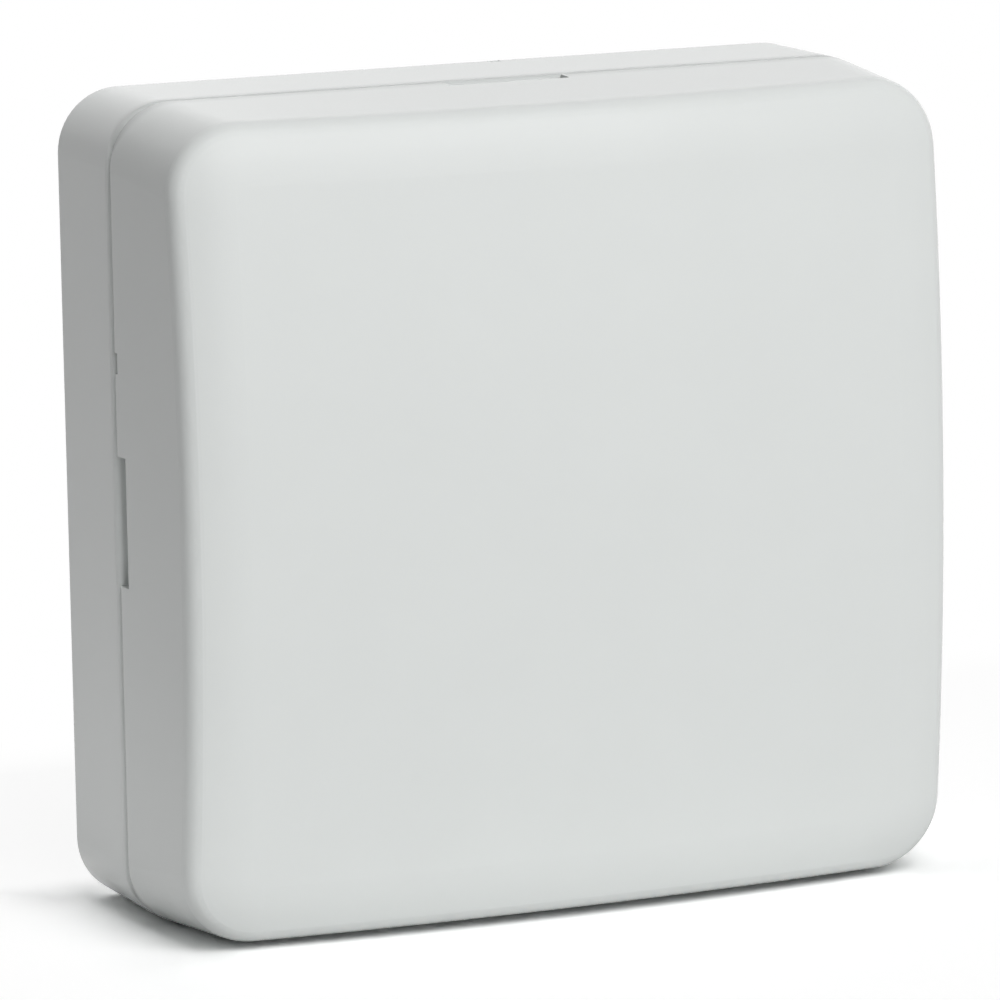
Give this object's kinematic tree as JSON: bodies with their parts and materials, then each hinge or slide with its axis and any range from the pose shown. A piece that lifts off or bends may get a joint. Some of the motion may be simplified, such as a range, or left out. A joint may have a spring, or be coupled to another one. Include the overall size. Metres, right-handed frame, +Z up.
{
  "type": "glass break sensor",
  "caption": "Square two-shell alarm sensor box with a crowned lift-off cover, snap tongues, sound holes, circuit board, microphone, radio, battery bay and tamper plungers.",
  "frame": {"origin": "middle of the flat back face, on the plane of the wall", "axes": "+X to the right seen from the front, -Y out of the front, +Z up"},
  "size_m": [0.08, 0.0337, 0.0786],
  "materials": {
    "shell_plastic": "fine matt texture",
    "label_film": "matt film",
    "board_laminate": "green solder mask",
    "screw_steel": "zinc plated",
    "cell_steel": "nickel plated",
    "cell_filling": "rolled electrode",
    "cell_film": "gloss film",
    "contact_nickel": "nickel plated",
    "switch_black": "matt",
    "plunger_white": "matt",
    "dip_blue": "matt",
    "slider_white": "matt",
    "enrol_red": "satin",
    "boot_rubber": "matt",
    "capsule_aluminium": "satin",
    "felt_black": "felt",
    "chip_black": "moulded",
    "lead_tin": "tinned",
    "crystal_steel": "satin",
    "radio_laminate": "blue solder mask",
    "shield_tin": "tinned sheet",
    "antenna_copper": "enamelled copper",
    "capacitor_aluminium": "satin",
    "inductor_grey": "moulded ferrite",
    "led_red": "clear tinted",
    "pin_gold": "gold flash",
    "header_black": "moulded",
    "resistor_black": "glazed",
    "capacitor_tan": "ceramic"
  },
  "bodies": {
    "base": {"rear_base": "shell_plastic", "back_label": "label_film", "circuit_board": "board_laminate", "board_screws": "screw_steel", "battery_can": "cell_steel", "battery_core": "cell_filling", "battery_sleeve": "cell_film", "battery_terminal": "cell_steel", "battery_contact_positive": "contact_nickel", "battery_contact_negative": "contact_nickel", "battery_spring": "contact_nickel", "tamper_switch_body": "switch_black", "tamper_spring": "contact_nickel", "wall_tamper_spring": "contact_nickel", "wall_tamper_switch": "switch_black", "dip_switch_body": "dip_blue", "enrol_switch_body": "switch_black", "microphone_boot": "boot_rubber", "microphone_capsule": "capsule_aluminium", "microphone_felt": "felt_black", "controller_chip": "chip_black", "controller_leads": "lead_tin", "amplifier_chip": "chip_black", "voltage_regulator": "chip_black", "small_chip_leads": "lead_tin", "crystal_can": "crystal_steel", "radio_board": "radio_laminate", "radio_shield": "shield_tin", "antenna_coil": "antenna_copper", "capacitor_base": "header_black", "smoothing_capacitor": "capacitor_aluminium", "power_inductor": "inductor_grey", "status_led": "led_red", "header_pins": "pin_gold", "header_block": "header_black", "jumper_cap": "header_black", "chip_resistors": "resistor_black", "chip_capacitors": "capacitor_tan"},
    "cover": {"front_cover": "shell_plastic"},
    "cover_switch_plunger": {"tamper_plunger": "plunger_white"},
    "wall_switch_plunger": {"wall_tamper_plunger": "plunger_white"},
    "enrol_key": {"enrol_button": "enrol_red"},
    "slider_1": {"dip_slider_1": "slider_white"},
    "slider_2": {"dip_slider_2": "slider_white"},
    "slider_3": {"dip_slider_3": "slider_white"},
    "slider_4": {"dip_slider_4": "slider_white"}
  },
  "joints": [
    {"name": "cover_lift", "type": "slide", "parent": "base", "child": "cover", "axis": [0, -1, 0], "range_m": [0, 0.06]},
    {"name": "cover_switch_slide", "type": "slide", "parent": "base", "child": "cover_switch_plunger", "axis": [0, -1, 0], "range_m": [0, 0.002], "stiffness_N_per_m": 120, "springref_m": 0.004},
    {"name": "wall_switch_slide", "type": "slide", "parent": "base", "child": "wall_switch_plunger", "axis": [0, 1, 0], "range_m": [0, 0.0015], "stiffness_N_per_m": 120, "springref_m": 0.004},
    {"name": "enrol_press", "type": "slide", "parent": "base", "child": "enrol_key", "axis": [0, 1, 0], "range_m": [0, 0.0005], "stiffness_N_per_m": 800},
    {"name": "slider_1_slide", "type": "slide", "parent": "base", "child": "slider_1", "axis": [0, 0, 1], "range_m": [0, 0.0018]},
    {"name": "slider_2_slide", "type": "slide", "parent": "base", "child": "slider_2", "axis": [0, 0, 1], "range_m": [0, 0.0018]},
    {"name": "slider_3_slide", "type": "slide", "parent": "base", "child": "slider_3", "axis": [0, 0, 1], "range_m": [0, 0.0018]},
    {"name": "slider_4_slide", "type": "slide", "parent": "base", "child": "slider_4", "axis": [0, 0, 1], "range_m": [0, 0.0018]}
  ],
  "couplings": [
    {"joint": "cover_switch_slide", "follows": "cover_lift", "ratio": 0.033333}
  ]
}
